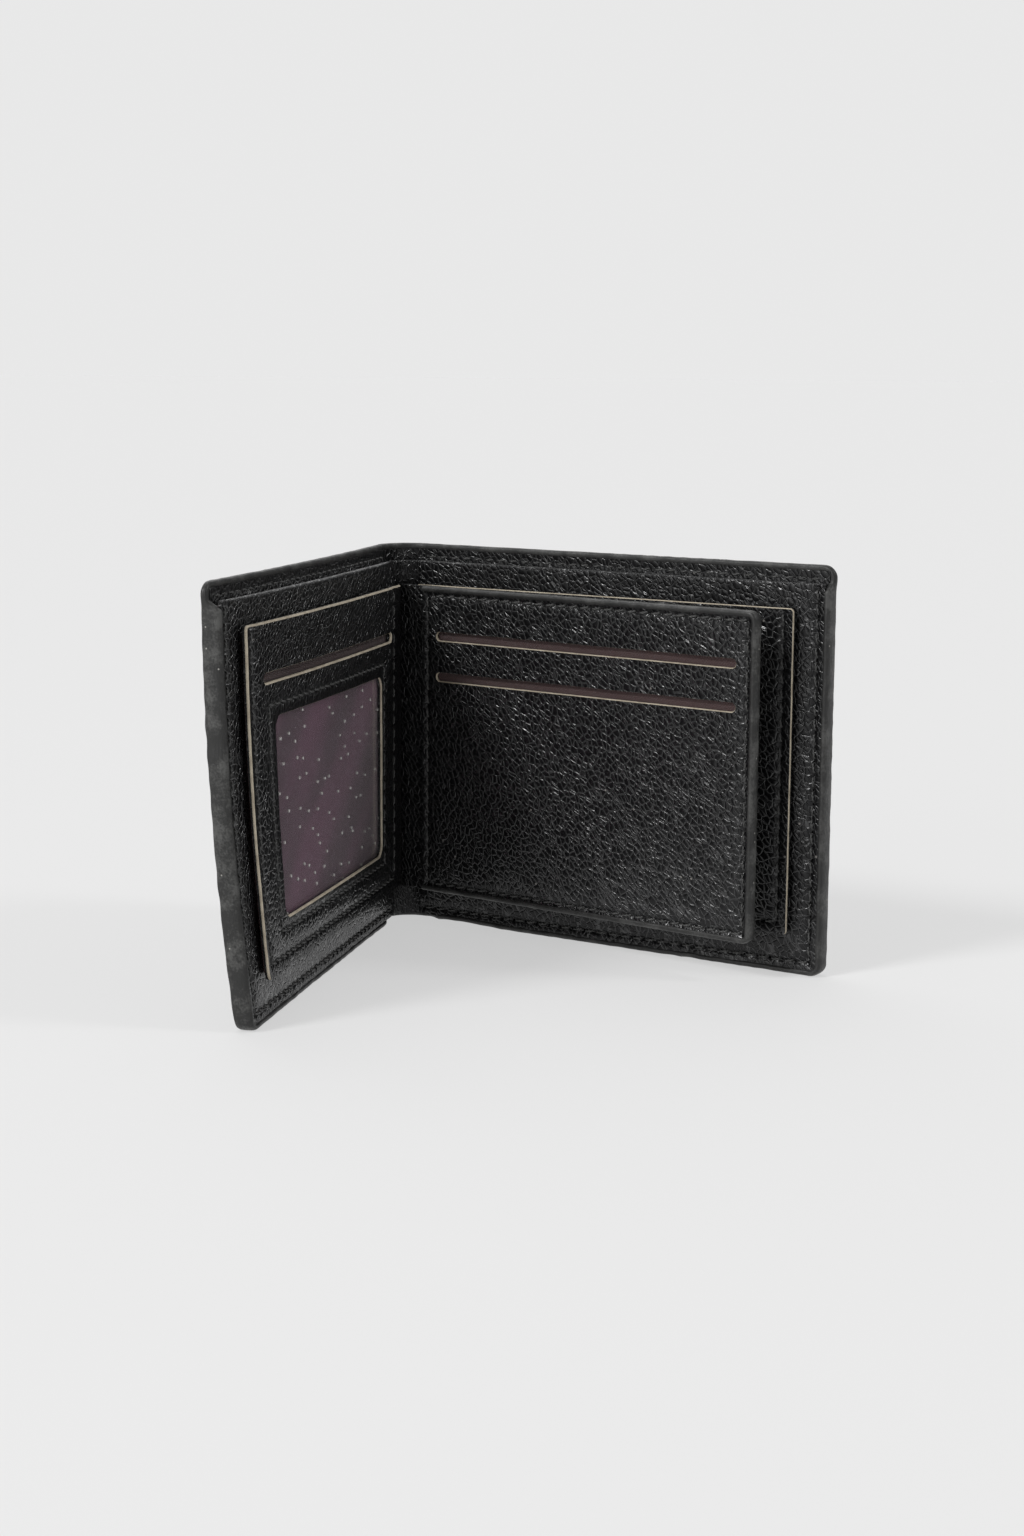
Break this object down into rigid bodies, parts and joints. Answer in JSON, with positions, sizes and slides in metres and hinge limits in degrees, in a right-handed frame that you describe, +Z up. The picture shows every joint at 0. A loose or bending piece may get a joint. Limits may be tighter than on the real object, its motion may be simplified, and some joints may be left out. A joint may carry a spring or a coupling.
{
  "type": "bifold wallet with flip page",
  "caption": "Slim pebbled-leather wallet standing open: two covers and a flip-out centre page on one spine, with card slots, a clear identity window and a bill compartment.",
  "frame": {"origin": "centre of the bounding box on the surface that the wallet stands on", "axes": "+Z up along the spine, +X along the right cover from the spine to its free edge, +Y out of the back of the right cover; the page and the left cover open towards -Y"},
  "size_m": [0.121, 0.1172, 0.095],
  "materials": {
    "leather": "semi-gloss black, pebbled grain",
    "edge_paint": "smooth satin dark grey edge paint",
    "lining": "fine dark maroon twill lining",
    "satin": "plum satin lining",
    "clear_film": "clear glossy film",
    "thread": "bonded black sewing thread"
  },
  "bodies": {
    "right_cover": {"outer_cover_right": "leather", "cover_facing_right": "leather", "cover_lining_right": "lining", "divider_lining_right": "lining", "inner_panel_right": "leather", "edge_paint_right": "edge_paint", "pocket_lining_right": "lining", "card_pocket_panel_right": "leather", "cover_stitching_right": "thread", "border_stitching_right": "thread", "pocket_stitching_right": "thread"},
    "page": {"page_hinge_strip": "leather", "page_front_panel": "leather", "page_back_panel": "leather", "page_pocket_lining": "lining", "page_edge_paint": "edge_paint", "page_front_stitching": "thread", "page_back_stitching": "thread", "hinge_strip_stitching": "thread", "outer_cover_spine": "leather", "cover_facing_spine": "leather", "cover_lining_spine": "lining", "divider_lining_spine": "lining", "inner_panel_spine": "leather", "edge_paint_spine": "edge_paint"},
    "left_cover": {"outer_cover_left": "leather", "cover_facing_left": "leather", "cover_lining_left": "lining", "divider_lining_left": "lining", "inner_panel_left": "leather", "edge_paint_left": "edge_paint", "pocket_lining_left": "lining", "window_pocket_panel_left": "leather", "window_film": "clear_film", "window_lining": "satin", "cover_stitching_left": "thread", "border_stitching_left": "thread", "pocket_stitching_left": "thread", "window_stitching": "thread"}
  },
  "joints": [
    {"name": "page_turn", "type": "hinge", "parent": "right_cover", "child": "page", "pos_m": [-0.052, 0.05006, 0.0475], "axis": [0, 0, -1], "range_deg": [-4.6, 85.4], "deforming": ["outer_cover_spine", "cover_facing_spine", "cover_lining_spine", "divider_lining_spine", "inner_panel_spine", "edge_paint_spine"]},
    {"name": "cover_fold", "type": "hinge", "parent": "page", "child": "left_cover", "pos_m": [-0.052, 0.05006, 0.0475], "axis": [0, 0, -1], "range_deg": [-65.4, 24.6], "deforming": ["outer_cover_spine", "cover_facing_spine", "cover_lining_spine", "divider_lining_spine", "inner_panel_spine", "edge_paint_spine"]}
  ]
}
